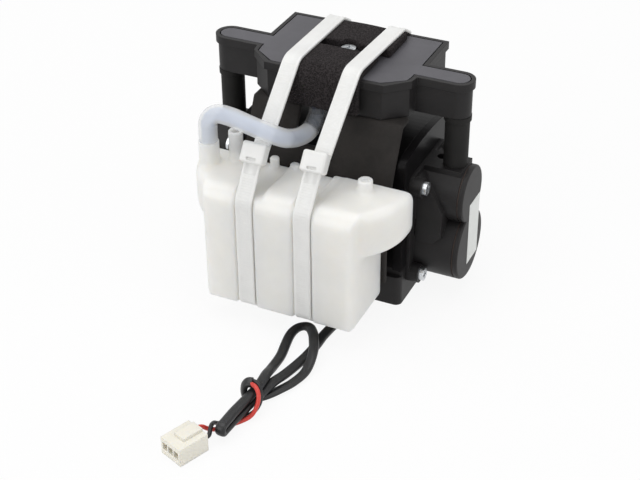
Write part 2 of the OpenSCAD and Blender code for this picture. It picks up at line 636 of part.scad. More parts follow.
// Cable ties: the lower front run starts in the locking head, at b, and the upper run ends under it
tie_head = [10.6, 8.8, 5.6];
head_in = 1.75;
tail_t = 1.4;
tail_w = 7;
function lower_normal(b) = band_normal([b[0], b[1], 0], tie_rounds[4]);
function lower_slope(b) = atan2(lower_normal(b)[1], lower_normal(b)[0]) - 90;
function headed_rounds(b) = concat(
    [for (i = [0 : 3]) tie_rounds[i]], [[b[0], b[1], 0]], [for (i = [4 : 6]) tie_rounds[i]]);
module tie_loop(rounds) difference() {
    polygon(band(rounds, gap + tie_t));
    polygon(band(rounds, gap));
}
module above_head(b) translate(b) rotate(lower_slope(b)) translate([-0.5, -200]) square([300, 400]);
module tie(b) {
    along_x(-tie_w / 2, tie_w / 2) {
        intersection() {
            tie_loop(tie_rounds);
            above_head(b);
        }
        difference() {
            tie_loop(headed_rounds(b));
            above_head(b);
        }
    }
    translate([0, b[0], b[1]]) rotate([lower_slope(b), 0, 0]) translate([0, 0, -head_in]) {
        difference() {
            translate([-tie_head[0] / 2, -tie_head[1] / 2, 0]) cube(tie_head);
            translate([-2.1, -3.4, tie_head[2] - 1.4]) cube([4.2, 1.2, 3]);
        }
        translate([-tail_w / 2, 0, -1.8]) cube([tail_w, tail_t, 3]);
    }
}
module tie_left() color("#e6e4dc") tie_plane(-tie_x, left_lean) tie([-53.5, 78.8]);
module tie_right() color("#e6e4dc") tie_plane(tie_x, right_lean) tie([-52.2, 80.2]);

// Hose: a hollow tube over the manifold nipple and the tank spigot
module hose() color("#cfd6d8") {
    c = spline(hose_route, 2);
    rings = len(c);
    sides = 10;
    outer = ring_points(c, [1, 0, 0], hose_d, hose_d, sides);
    inner = ring_points(c, [1, 0, 0], hose_bore, hose_bore, sides);
    first = rings * sides;
    last = (rings - 1) * sides;
    near_end = [for (k = [0 : sides - 1]) let (j = (k + 1) % sides) [k, j, first + j, first + k]];
    far_end = [for (k = [0 : sides - 1]) let (j = (k + 1) % sides)
        [last + j, last + k, first + last + k, first + last + j]];
    polyhedron(concat(outer, inner), concat(wall_faces(rings, sides, 0, false),
        wall_faces(rings, sides, first, true), near_end, far_end));
}

// Lead: grommet in the base, flat sheath, two wires and the plug
module lead_grommet() color("#1c1b1b") {
    bar_y(-base_hy, -cavity_hy, grommet_at[0], grommet_at[1], 2.95);
    bar_y(-base_hy - 1.4, -base_hy, grommet_at[0], grommet_at[1], 4.2);
    bar_y(-30.5, -base_hy - 1, grommet_at[0], grommet_at[1], 3.2);
}
module lead_sheath() color("#2a2a2c") {
    c = spline(lead_route, 1);
    echo(lead_self_gap = self_gap(ring_points(c, [1, 0, 0], lead_w, lead_t, 8), len(c), 8, 4));
    cord(lead_route, 1, [1, 0, 0], lead_w, lead_t, 8);
}
module red_wire() color("#c23a30") cord(red_route, 1, [0, 0, 1], wire_d, wire_d, 8);
module black_wire() color("#222224") cord(black_route, 1, [0, 0, 1], wire_d, wire_d, 8);
module plug_place() translate(plug_at) rotate([0, 0, plug_turn]) children();
module plug_housing() color("#e8e4d6") plug_place() difference() {
    union() {
        cube([plug_l, plug_w, plug_h]);
        translate([4.5, 3, plug_h - eps]) cube([plug_l - 4.5, 5.6, 1.2]);
    }
    for (y = plug_ways)
        translate([-1, y - 1.3, plug_way_z - 1.6]) cube([plug_l - 1.5, 2.6, 3.2]);
}
module plug_contacts() color("#c9a55a") plug_place() for (y = [plug_ways[0], plug_ways[2]])
    translate([4, y - 1.1, plug_way_z - 1.4]) cube([plug_l - 6.6, 2.2, 2.8]);

base_block();
case_shell();
front_core();
rear_core();
front_bobbin();
rear_bobbin();
front_coil();
rear_coil();
magnet_carrier();
magnet_left();
magnet_right();
inner_discs();
outer_discs();
rod_screws();
diaphragm_left();
diaphragm_right();
head_left();
head_right();
inlet_disc_left();
inlet_disc_right();
outlet_disc_left();
outlet_disc_right();
inlet_cages();
outlet_cages();
cap_gaskets();
end_cap_left();
end_cap_right();
head_screws();
end_label();
riser_left();
riser_right();
manifold_box();
manifold_lid();
lid_screw();
foam_rear();
foam_front();
backing_pad();
tank();
tie_left();
tie_right();
hose();
lead_grommet();
lead_sheath();
red_wire();
black_wire();
plug_housing();
plug_contacts();
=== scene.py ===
import json

import bpy
import numpy as np
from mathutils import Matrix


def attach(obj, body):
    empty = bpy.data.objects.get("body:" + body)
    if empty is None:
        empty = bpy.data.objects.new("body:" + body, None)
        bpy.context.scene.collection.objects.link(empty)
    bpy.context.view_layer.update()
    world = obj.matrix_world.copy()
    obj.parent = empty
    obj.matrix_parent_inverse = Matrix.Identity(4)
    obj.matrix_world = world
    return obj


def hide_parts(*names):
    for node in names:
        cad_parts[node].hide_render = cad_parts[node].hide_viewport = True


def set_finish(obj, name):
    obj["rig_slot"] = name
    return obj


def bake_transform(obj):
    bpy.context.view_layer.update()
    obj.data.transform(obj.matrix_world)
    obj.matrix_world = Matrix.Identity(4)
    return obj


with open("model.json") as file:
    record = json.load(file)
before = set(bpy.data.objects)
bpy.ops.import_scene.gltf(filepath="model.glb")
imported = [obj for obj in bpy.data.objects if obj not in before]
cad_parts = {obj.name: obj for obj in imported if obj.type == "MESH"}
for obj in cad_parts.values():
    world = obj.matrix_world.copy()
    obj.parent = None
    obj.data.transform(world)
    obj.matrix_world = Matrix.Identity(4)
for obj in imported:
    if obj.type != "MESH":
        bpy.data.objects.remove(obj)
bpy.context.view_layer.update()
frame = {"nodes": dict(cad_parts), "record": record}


# Studio. A white table in soft light from above, from the right and from the front,
# seen from the height and side that the photograph was taken from.
scene = bpy.context.scene
scene.view_settings.view_transform = "Standard"

camera = bpy.data.objects.new("camera", bpy.data.cameras.new("camera"))
camera.location = (0.22265, -0.49550, 0.36928)
camera.rotation_euler = np.radians([90 - 33.72, 0, 24.32])
camera.data.lens = 79.4
camera.data.sensor_width = 36
camera.data.shift_x = -0.0301
camera.data.shift_y = 0.0030
camera.data.clip_start = 0.01
scene.collection.objects.link(camera)
scene.camera = camera


def softbox(name, place, turn, size, power):
    """A square area lamp at a place, turned by degrees, that many metres wide."""
    lamp = bpy.data.lights.new(name, "AREA")
    lamp.size = size
    lamp.energy = power
    box = bpy.data.objects.new(name, lamp)
    box.location = place
    box.rotation_euler = np.radians(turn)
    scene.collection.objects.link(box)


softbox("softbox_top", (-0.15, 0.05, 1.0), (4, -9, 0), 0.9, 4.9)
softbox("softbox_right", (0.95, -0.15, 0.42), (0, 66, -9), 0.6, 1.9)
softbox("softbox_front", (-0.45, -0.95, 0.55), (60, 0, -25), 0.7, 3.3)


def add(tree, kind, inputs=None, **settings):
    """A shader node: its settings, then its inputs, each a plain value or the output it is linked to."""
    made = tree.nodes.new("ShaderNode" + kind)
    for key, value in settings.items():
        setattr(made, key, value)
    for key, value in (inputs or {}).items():
        if isinstance(value, bpy.types.NodeSocket):
            tree.links.new(value, made.inputs[key])
        else:
            made.inputs[key].default_value = value
    return made


def seen_rays(tree):
    """One for a ray that shows the background: from the camera, off gloss or through clear plastic."""
    path = add(tree, "LightPath").outputs
    seen = path["Is Camera Ray"]
    for other in ("Is Glossy Ray", "Is Transmission Ray"):
        both = add(tree, "Math", operation="MAXIMUM")
        tree.links.new(seen, both.inputs[0])
        tree.links.new(path[other], both.inputs[1])
        seen = both.outputs[0]
    return seen


room = bpy.data.worlds.new("room")
room.use_nodes = True
scene.world = room
sky = room.node_tree
level = add(sky, "MapRange", {"Value": seen_rays(sky), "To Min": 0.46, "To Max": 1.0})
sky.nodes["Background"].inputs["Color"].default_value = (1, 1, 1, 1)
sky.links.new(level.outputs["Result"], sky.nodes["Background"].inputs["Strength"])

table = bpy.data.meshes.new("table")
table.from_pydata([(-3, -3, 0), (3, -3, 0), (3, 3, 0), (-3, 3, 0)], [], [(0, 1, 2, 3)])
floor = bpy.data.objects.new("floor", table)
scene.collection.objects.link(floor)
white = bpy.data.materials.new("table_white")
white.use_nodes = True
tree = white.node_tree
plain = add(tree, "BsdfDiffuse", {"Color": (0.9, 0.9, 0.9, 1)})
bright = add(tree, "Emission", {"Color": (1, 1, 1, 1), "Strength": 1.0})
share = add(tree, "MapRange", {"Value": seen_rays(tree), "To Min": 0.0, "To Max": 0.9})
blend = add(tree, "MixShader", {"Fac": share.outputs["Result"]})
tree.links.new(plain.outputs[0], blend.inputs[1])
tree.links.new(bright.outputs[0], blend.inputs[2])
tree.links.new(blend.outputs[0], tree.nodes["Material Output"].inputs["Surface"])
table.materials.append(white)


# Base block. A black plastic tray, injection moulded with a fine spark grain, that the case
# stands on. The shell is seated on its rim and two grooves underneath let the ties through.
def shader(name, **sockets):
    """A new material, its node tree, its main shader with these sockets set, and object coordinates."""
    made = bpy.data.materials.new(name)
    made.use_nodes = True
    nodes = made.node_tree
    main = nodes.nodes["Principled BSDF"]
    for key, value in sockets.items():
        main.inputs[key.replace("_", " ")].default_value = value
    return made, nodes, main, add(nodes, "TexCoord").outputs["Object"]


def shades(tree, value, dark, light, low=0.35, high=0.65):
    """A colour that runs from dark to light as a value runs from low to high."""
    ramp = add(tree, "ValToRGB", {"Fac": value})
    first, last = ramp.color_ramp.elements
    first.position, first.color = low, (*dark, 1)
    last.position, last.color = high, (*light, 1)
    return ramp.outputs["Color"]


def relief(tree, main, height, depth, edge=0.0, strength=1.0):
    """Raises the surface by a height of up to depth millimetres, over edges rounded off by edge millimetres."""
    bump = add(tree, "Bump", {"Height": height, "Distance": depth / 1000, "Strength": strength})
    if edge:
        soft = add(tree, "Bevel", {"Radius": edge / 1000}, samples=4)
        tree.links.new(soft.outputs["Normal"], bump.inputs["Normal"])
    tree.links.new(bump.outputs["Normal"], main.inputs["Normal"])


def moulded(name, colour, rough, grain=0.45, depth=0.03, edge=0.4, spread=0.18, **sockets):
    """Moulded plastic: a fine noise of that grain in millimetres raises the skin, and a broad noise
    shifts the colour by the spread and the gloss by a little."""
    made, tree, main, place = shader(name, **sockets)
    fine = add(tree, "TexNoise", {"Vector": place, "Scale": 1000 / grain, "Detail": 2.0})
    broad = add(tree, "TexNoise", {"Vector": place, "Scale": 70.0, "Detail": 5.0, "Roughness": 0.6})
    base = np.array(colour)
    tone = shades(tree, broad.outputs["Fac"], base * (1 - spread), base * (1 + spread))
    tree.links.new(tone, main.inputs["Base Color"])
    gloss = add(tree, "MapRange", {"Value": broad.outputs["Fac"], "To Min": rough - 0.07, "To Max": rough + 0.07})
    tree.links.new(gloss.outputs["Result"], main.inputs["Roughness"])
    relief(tree, main, fine.outputs["Fac"], depth, edge)
    return made


def dress(finish, *names):
    """Puts a finish on these parts of the frame."""
    for name in names:
        mesh = frame["nodes"][name].data
        mesh.materials.clear()
        mesh.materials.append(finish)


black_plastic = moulded("black_plastic", (0.0135, 0.0125, 0.0128), 0.5, Specular_IOR_Level=0.25)
dress(black_plastic, "base_block")


# Case shell. A black plastic cover with an arched top and a bell at each end, moulded in a
# polished tool, so it is glossier than the base. The end walls carry the diaphragm seats.
case_black = moulded("case_black", (0.008, 0.0075, 0.008), 0.32, grain=1.6, depth=0.02, Specular_IOR_Level=0.05)
dress(case_black, "case_shell")


# Electromagnets. Two E-shaped stacks of steel sheet, each with a nylon bobbin wound with
# enamelled copper wire, glued into the case on both sides of the magnet carrier.
def banded(name, dark, light, axis, pitch, depth, rough, **sockets):
    """Fine bands across one axis, a pitch in millimetres apart: a sine of the place along that axis
    gives both the colour and the relief, blurred by a little noise."""
    made, tree, main, place = shader(name, Roughness=rough, **sockets)
    bands = add(tree, "TexWave", {"Vector": place, "Scale": 1000 / pitch / 20 * np.pi, "Distortion": 0.4,
                "Detail": 1.0}, wave_type="BANDS", bands_direction=axis)
    tree.links.new(shades(tree, bands.outputs["Fac"], dark, light, 0.1, 0.9), main.inputs["Base Color"])
    relief(tree, main, bands.outputs["Fac"], depth)
    return made


core_steel = banded("core_steel", (0.20, 0.20, 0.21), (0.46, 0.46, 0.48), "Z", 0.5, 0.06, 0.42, Metallic=0.9)
natural_nylon = moulded("natural_nylon", (0.74, 0.69, 0.58), 0.42, depth=0.02, spread=0.05,
                        Subsurface_Weight=0.2, Subsurface_Scale=0.002)
# The copper is darker in the grooves between the turns and lighter on the turns: the dark in the grooves is painted
# shade.
copper = banded("copper", (0.30, 0.10, 0.04), (0.72, 0.34, 0.16), "Y", 0.35, 0.12, 0.3, Metallic=0.85)
dress(core_steel, "front_core", "rear_core")
dress(natural_nylon, "front_bobbin", "rear_bobbin", "magnet_carrier", "inlet_cages", "outlet_cages")
dress(copper, "front_coil", "rear_coil")


# Magnet carrier and diaphragms. A nylon bar holds two sintered magnets between the cores and
# is screwed at each end to a folded rubber diaphragm, clamped between two turned discs.
magnet_grey = moulded("magnet", (0.13, 0.13, 0.14), 0.55, grain=0.25, depth=0.05, Metallic=0.5)
black_rubber = moulded("black_rubber", (0.015, 0.0145, 0.014), 0.62, grain=0.8, depth=0.03, edge=0.6,
                       Specular_IOR_Level=0.15)
plated, tree, main, place = shader("screw_chrome", Metallic=1.0, Base_Color=(0.66, 0.68, 0.70, 1))
wear = add(tree, "TexNoise", {"Vector": place, "Scale": 900.0, "Detail": 4.0})
dull = add(tree, "MapRange", {"Value": wear.outputs["Fac"], "To Min": 0.26, "To Max": 0.48})
tree.links.new(dull.outputs["Result"], main.inputs["Roughness"])
relief(tree, main, wear.outputs["Fac"], 0.02, 0.3)
turned, tree, main, place = shader("disc_aluminium", Metallic=1.0, Roughness=0.32)
centred = add(tree, "Mapping", {"Vector": place, "Location": (0, 0, -0.035)})
rings = add(tree, "TexWave", {"Vector": centred.outputs[0], "Scale": 500.0, "Distortion": 0.6}, wave_type="RINGS",
            rings_direction="X")
tone = shades(tree, rings.outputs["Fac"], (0.58, 0.59, 0.6), (0.78, 0.79, 0.8), 0, 1)
tree.links.new(tone, main.inputs["Base Color"])
relief(tree, main, rings.outputs["Fac"], 0.02)
dress(magnet_grey, "magnet_left", "magnet_right")
dress(turned, "inner_discs", "outer_discs")
dress(plated, "rod_screws", "head_screws", "lid_screw")


def grid_faces(rings, sides, closed):
    """Faces between neighbouring rings of points, with the last ring joined to the first if closed."""
    i, k = np.meshgrid(np.arange(rings if closed else rings - 1), np.arange(sides), indexing="ij")
    a, b = i * sides, (i + 1) % rings * sides
    nxt = (k + 1) % sides
    return np.stack([a + k, a + nxt, b + nxt, b + k], axis=-1).reshape(-1, 4)


def piece(name, points, faces, finish, slot, *nodes, body="frame"):
    """A smooth mesh from points in millimetres, riding on a body, if named, in place of these CAD nodes."""
    mesh = bpy.data.meshes.new(name)
    mesh.from_pydata((np.asarray(points) / 1000).tolist(), [], [list(f) for f in faces])
    mesh.shade_smooth()
    mesh.materials.append(finish)
    made = bpy.data.objects.new(name, mesh)
    scene.collection.objects.link(made)
    if body:
        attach(made, body)
    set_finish(made, slot)
    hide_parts(*nodes)
    return made


axis_height = 35
disc_sides = 96
fold_inside, fold_outside, fold_wide, fold_deep = 13.3, 15.7, 2.4, 1.2
disc_faces = (38.5, 39.9)


def folded_disc(side):
    """Points of a disc turned about the pump axis, with one half-sine fold between its clamped middle
    and its clamped rim."""
    radius = np.concatenate([[1.6, 6, 12], np.linspace(fold_inside, fold_outside, 17), [17, 20]])
    fold = fold_deep * np.sin(np.pi * np.clip((radius - fold_inside) / fold_wide, 0, 1))
    across = np.concatenate([disc_faces[0] - fold, (disc_faces[1] - fold)[::-1]])
    radius = np.concatenate([radius, radius[::-1]])
    angle = np.linspace(0, 2 * np.pi, disc_sides, endpoint=False)
    points = np.empty((len(radius), len(angle), 3))
    points[..., 0] = side * across[:, None]
    points[..., 1] = radius[:, None] * np.cos(angle)
    points[..., 2] = axis_height + radius[:, None] * np.sin(angle)
    return points.reshape(-1, 3)


for name, side in (("left", -1), ("right", 1)):
    points = folded_disc(side)
    faces = grid_faces(len(points) // disc_sides, disc_sides, True)[:, ::side]
    made = piece("flexing_disc_" + name, points, faces, black_rubber, "black_rubber", "diaphragm_" + name, body=None)
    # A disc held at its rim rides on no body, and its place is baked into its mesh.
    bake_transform(made)


# Heads. A black plastic casting at each end with two lobes for the valve chambers, closed by a
# cap over a brown gasket and held by four chrome screws. Rubber discs in nylon cages are the valves.
valve_rubber = moulded("valve_rubber", (0.26, 0.07, 0.05), 0.55, grain=0.6, depth=0.02)
gasket_brown = moulded("gasket_rubber", (0.05, 0.032, 0.025), 0.7, grain=0.3, depth=0.06, edge=0)
dress(black_plastic, "head_left", "head_right", "end_cap_left", "end_cap_right")
dress(valve_rubber, "inlet_disc_left", "inlet_disc_right", "outlet_disc_left", "outlet_disc_right")
dress(gasket_brown, "cap_gaskets")


# End label. A blank paper sticker on the right cap, with a little fibre and a soft print varnish.
label_paper = moulded("label_paper", (0.74, 0.76, 0.74), 0.38, grain=0.2, depth=0.012, edge=0, spread=0.03)
dress(label_paper, "end_label")


# Riser tubes. Two short lengths of black rubber tube, pushed over the head outlets and the
# nipples under the manifold ears. The upper ends are swollen by the nipples.
dress(black_rubber, "riser_left", "riser_right")


# Manifold. A flat black plastic box that joins both heads, with a grey-black lid let into its
# rim. One chrome screw goes through it into a post on the case.
lid_grey = moulded("lid_grey", (0.094, 0.092, 0.102), 0.5, grain=0.4, depth=0.025, spread=0.1,
                   Specular_IOR_Level=0.25)
dress(black_plastic, "manifold_box")
dress(lid_grey, "manifold_lid")


# Foam strips. Two strips of black open-cell foam, 3.5 mm thick, glued on the lid under the ties.
# The front one is bent over the manifold's edge. Both swell a little between the ties.
def round_box(p, lo, hi, r):
    """Distance to a box with rounded edges: how far outside the box drawn in by r a point is, less r."""
    lo, hi = np.array(lo, float), np.array(hi, float)
    q = np.abs(p - (lo + hi) / 2) - (hi - lo) / 2 + r
    return np.linalg.norm(np.maximum(q, 0), axis=-1) + np.minimum(q.max(-1), 0) - r


def joined(a, b, r):
    """The lesser of two distances, blended over r so that the corner between them is filleted."""
    h = np.clip(0.5 + 0.5 * (b - a) / r, 0, 1)
    return b + (a - b) * h - r * h * (1 - h)


def trimmed(a, b, r):
    """The greater of two distances, blended over r so that the edge between them is rounded."""
    return -joined(-a, -b, r)


def line_distance(u, v, line):
    """Distance in a plane from points to a line of straight runs: the least over the runs of the
    distance to the nearest place on each."""
    line = np.array(line, float)
    best = np.full(np.shape(u), 1e9)
    for (au, av), (bu, bv) in zip(line[:-1], line[1:]):
        du, dv = bu - au, bv - av
        t = np.clip(((u - au) * du + (v - av) * dv) / (du * du + dv * dv), 0, 1)
        best = np.minimum(best, np.hypot(u - au - t * du, v - av - t * dv))
    return best


def skin(field, lo, hi, step):
    """The surface where a distance is zero. The distance is taken on a grid of spots. Each cell that it
    changes sign in gets one point, the mean of its crossed edges, moved along the slope onto the
    surface. Each crossed edge gets one face, between the four cells around it."""
    axes = [np.arange(a, b + step, step) for a, b in zip(lo, hi)]
    spots = np.stack(np.meshgrid(*axes, indexing="ij"), axis=-1)
    value = field(spots)
    cells = np.array(value.shape) - 1
    total = np.zeros((*cells, 3))
    count = np.zeros(cells)
    for axis in range(3):
        for corner in np.ndindex(2, 2):
            near = [slice(0, n) for n in cells]
            for other, shift in zip(((axis + 1) % 3, (axis + 2) % 3), corner):
                near[other] = slice(shift, shift + cells[other])
            far = list(near)
            far[axis] = slice(1, cells[axis] + 1)
            a, b = value[tuple(near)], value[tuple(far)]
            crossed = (a < 0) != (b < 0)
            part = np.where(crossed, a / np.where(crossed, a - b, 1), 0)
            spot = spots[tuple(near)] + part[..., None] * step * np.eye(3)[axis]
            total += np.where(crossed[..., None], spot, 0)
            count += crossed
    shell = count > 0
    points = total[shell] / count[shell][:, None]
    number = np.full(cells, -1)
    number[shell] = np.arange(len(points))
    faces = []
    for axis in range(3):
        order = (axis, (axis + 1) % 3, (axis + 2) % 3)
        inner = value.transpose(order)[:, 1:-1, 1:-1] < 0
        cell = number.transpose(order)
        i, j, k = np.nonzero(inner[:-1] != inner[1:])
        four = np.stack([cell[i, j, k], cell[i, j + 1, k], cell[i, j + 1, k + 1], cell[i, j, k + 1]], axis=1)
        faces.append(np.where(inner[i, j, k][:, None], four, four[:, ::-1]))
    for _ in range(2):
        near = step / 4 * np.eye(3)
        slope = np.stack([(field(points + e) - field(points - e)) * 2 / step for e in near], axis=-1)
        points = points - (field(points) / np.maximum((slope**2).sum(-1), 0.3))[:, None] * slope
    return points, np.vstack(faces)


foam_black, tree, main, place = shader("foam", Roughness=0.95, Specular_IOR_Level=0.15)
pores = add(tree, "TexVoronoi", {"Vector": place, "Scale": 1500.0, "Randomness": 1.0})
lumps = add(tree, "TexNoise", {"Vector": place, "Scale": 420.0, "Detail": 4.0})
# The foam's colour runs from near black in the middle of each pore to its lighter black on the cell walls: the dark
# pores are painted shade.
tree.links.new(shades(tree, pores.outputs["Distance"], (0.005, 0.004, 0.004), (0.038, 0.033, 0.034), 0.1, 0.75),
               main.inputs["Base Color"])
rise = add(tree, "Math", operation="ADD")
tree.links.new(pores.outputs["Distance"], rise.inputs[0])
tree.links.new(lumps.outputs["Fac"], rise.inputs[1])
relief(tree, main, rise.outputs[0], 0.5)

tie_at = 14.0
foam_thick = 3.5
lid_top = 102.5
lid_screw_at = (1.5, 3.6)


def swell(x):
    """How far foam stands proud beside the ties: nothing under one, rising with the distance from it."""
    return 0.45 * (1 - np.exp(-((np.abs(np.abs(x) - tie_at) / 6) ** 2)))


def rear_strip(p):
    """A rounded slab with a notch for the screw head."""
    still = 0 * p[..., 0]
    p = p - np.stack([still, still, swell(p[..., 0])], axis=-1) * ((p[..., 2:] - lid_top) / foam_thick)
    slab = round_box(p, (-17, 5, lid_top), (20, 25, lid_top + foam_thick), 0.6)
    return trimmed(slab, 4 - np.hypot(p[..., 0] - lid_screw_at[0], p[..., 1] - lid_screw_at[1]), 0.6)


def front_strip(p):
    """A band of even thickness about a line over the lid and down the manifold's front, cut off square."""
    line = [(4, 104.25), (-15.6, 104.25), (-17.8, 103.81), (-19.67, 102.57), (-20.91, 100.7), (-21.35, 98.5),
            (-21.35, 84)]
    band = line_distance(p[..., 1], p[..., 2], line) - foam_thick / 2 - swell(p[..., 0]) / 2
    ends = np.maximum(np.abs(p[..., 0]) - 17, np.maximum(p[..., 1], 87.5 - p[..., 2]))
    return trimmed(band, ends, 0.9)


for name, strip, lo, hi in (
    ("foam_strip_rear", rear_strip, (-18.4, 3.6, 101.1), (21.4, 26.4, 107.8)),
    ("foam_strip_front", front_strip, (-18.4, -25, 86), (18.4, 1.4, 107.8)),
):
    node = "foam_" + name.split("_")[-1]
    piece(name, *skin(strip, lo, hi, 0.6), foam_black, "foam", node)


# Backing pad. A sheet of closed-cell foam, 2.4 mm thick, between the case and the tank, with its
# top edge bent back under the manifold and a notch for the hose.
pad_thick = 2.4
pad_line = [(-8, 84.6), (-18.5, 84.6), (-27.5, 65.7), (-31.3, 56.5), (-33.6, 46.75), (-33.6, 16)]


def round_rect(u, v, u0, u1, v0, v1, radii):
    """Distance in a plane to a rectangle whose corners have their own radii: low-low, high-low,
    high-high and low-high in u and v."""
    a, b = u - (u0 + u1) / 2, v - (v0 + v1) / 2
    r = np.where(a > 0, np.where(b > 0, radii[2], radii[1]), np.where(b > 0, radii[3], radii[0]))
    qa, qb = np.abs(a) - (u1 - u0) / 2 + r, np.abs(b) - (v1 - v0) / 2 + r
    return np.minimum(np.maximum(qa, qb), 0) + np.hypot(np.maximum(qa, 0), np.maximum(qb, 0)) - r


def pad_sheet(p):
    """A band about a line from under the manifold down behind the tank, cut to a plan outline with
    round back corners and notched."""
    band = line_distance(p[..., 1], p[..., 2], pad_line) - pad_thick / 2
    plan = round_rect(p[..., 0], p[..., 1], -33, 36, -40, -10, (0, 0, 3, 3))
    notch = -round_box(p, (-10.5, -60, 70.5), (2.5, 20, 120), 1.5)
    return trimmed(trimmed(band, np.maximum(plan, 16 - p[..., 2]), 0.8), notch, 0.8)


pad_foam = moulded("pad_foam", (0.024, 0.0215, 0.020), 0.8, grain=0.55, depth=0.12, edge=0, spread=0.25,
                   Specular_IOR_Level=0.25)
piece("backing_sheet", *skin(pad_sheet, (-35, -37, 14), (38, -8, 87.6), 0.8), pad_foam, "pad_foam",
                "backing_pad")


# Air tank. A blow-moulded bottle of translucent white polyethylene, with wings at the sides, a
# channel for each tie and two spigots on top. The ties hold it against the pad.
def upright(p, x, y, r, z0, z1):
    """Distance to an upright cylinder with a slightly rounded rim."""
    wall = np.hypot(p[..., 0] - x, p[..., 1] - y) - r
    return trimmed(wall, np.abs(p[..., 2] - (z0 + z1) / 2) - (z1 - z0) / 2, 0.5)


hose_spigot = (-40, -47.5)
free_spigot = (-30.2, -41.6)
blind_stub = (29.6, -42.5)
tie_leans = (0.011, 0.036)


def bottle(p):
    """The side profile, cut by a front and a plan outline for the body and by a round-ended plan for the
    wings. The two are joined, the tie channels are taken out of the front to the line of the ties and
    out of the top, and the spigots, the blind stub and two pegs are added."""
    x, y, z = p[..., 0], p[..., 1], p[..., 2]
    side = round_rect(y, z, -66.9, -35, 10, 66, (2.5, 2.5, 2, 8))
    body = trimmed(round_rect(x, z, -34.8, 34.8, 10, 75, (3, 3, 3, 3)),
                   round_rect(x, y, -34.8, 34.8, -66.9, -35, (4, 4, 2, 2)), 1.2)
    across, ahead = np.abs(x) - 19, -37.9 - y
    ends = np.hypot(np.maximum(across, 0), np.maximum(ahead, 0)) + np.minimum(np.maximum(across, ahead), 0) - 29
    wing = trimmed(trimmed(ends, 42.5 - z, 9), z - 66, 5)
    whole = trimmed(joined(body, wing, 3), side, 0.6)
    sunk = round_rect(y, z, -64.9, 40, 10, 66, (4, 4, 4, 6))
    for middle, lean, groove in zip((-tie_at, tie_at), tie_leans, ((-19.3, -7.6), (7, 12.5))):
        whole = trimmed(whole, -trimmed(np.abs(x - middle - lean * y) - 4.3, -sunk, 1.2), 1.6)
        whole = trimmed(whole, -trimmed(np.abs(x - sum(groove) / 2) - np.ptp(groove) / 2, 64 - z, 1), 1.4)
    whole = joined(whole, upright(p, *hose_spigot, 4.4, 60, 76), 1.6)
    whole = joined(whole, upright(p, *hose_spigot, 2.4, 60, 82), 0.4)
    whole = joined(whole, upright(p, *free_spigot, 3.1, 60, 80), 1.6)
    whole = trimmed(whole, -upright(p, *free_spigot, 1.9, 70, 90), 0.3)
    whole = joined(whole, upright(p, *blind_stub, 3.1, 60, 71.2), 2.5)
    whole = trimmed(whole, -upright(p, *blind_stub, 1.5, 70, 75), 0.8)
    for peg, top in ((-14.2, 68.6), (-4.7, 67.6)):
        whole = joined(whole, upright(p, peg, -37.6, 2, 60, top), 0.8)
    return whole


tank_white = moulded("tank_white", (0.84, 0.832, 0.80), 0.36, grain=2.5, depth=0.03, edge=0, spread=0.02,
                     Subsurface_Weight=0.85, Subsurface_Radius=(1.0, 0.93, 0.82), Subsurface_Scale=0.012)
piece("air_tank", *skin(bottle, (-49.4, -68.4, 8.6), (49.4, -33.6, 83.2), 0.65), tank_white, "tank_white", "tank")


# Cable ties. Two straps of natural nylon, 7.6 mm wide, pulled round foam, manifold, case and
# tank. The strap is a ladder of fine teeth between two plain edges and locks in a moulded head.
tie_rounds = np.array([
    (27, 2.2, 0), (30.8, 102.5, 0), (25, 106, 0), (-15.6, 98.5, 7.5), (-58.9, 60, 6), (-60.9, 14, 4),
    (-27, 2.2, 0)])
strap_faces = (0.05, 1.4)
head_sunk = 1.75


def run_normals(rounds):
    """Outward normals of the straight runs from each round to the next: square to the run, leaning by
    the difference of the two radii over its length."""
    step = np.roll(rounds, -1, axis=0) - rounds
    length = np.hypot(step[:, 0], step[:, 1])
    u = step[:, :2] / length[:, None]
    lean = -step[:, 2] / length
    return np.stack([u[:, 1], -u[:, 0]], axis=1) * np.sqrt(1 - lean**2)[:, None] + u * lean[:, None]


def taut_band(rounds, off):
    """A closed line drawn taut at a distance outside the rounds: on each, an arc from the normal of
    the run before it to the normal of the run after it."""
    after = run_normals(rounds)
    before = np.roll(after, 1, axis=0)
    start = np.arctan2(before[:, 1], before[:, 0])
    turn = (np.arctan2(after[:, 1], after[:, 0]) - start) % (2 * np.pi)
    angle = start[:, None] + turn[:, None] * np.linspace(0, 1, 13)
    reach = (rounds[:, 2] + off)[:, None]
    line = [rounds[:, :1] + reach * np.cos(angle), rounds[:, 1:2] + reach * np.sin(angle)]
    return np.stack(line, axis=-1).reshape(-1, 2)


def head_frame(start):
    """Centre, upward direction and normal of the head that the lower front run starts in, then the end
    of the upper run under it, where that run meets the level of the centre, and that run's normal."""
    normal = run_normals(np.array([(*start, 0), tie_rounds[4]]))[0]
    up = np.array([normal[1], -normal[0]])
    centre = np.array(start) - head_sunk * normal
    off = run_normals(tie_rounds)[3]
    way = np.array([off[1], -off[0]])
    foot = tie_rounds[4, :2] + tie_rounds[4, 2] * off
    return centre, up, normal, foot - way * ((foot - centre) @ up) / (way @ up), off


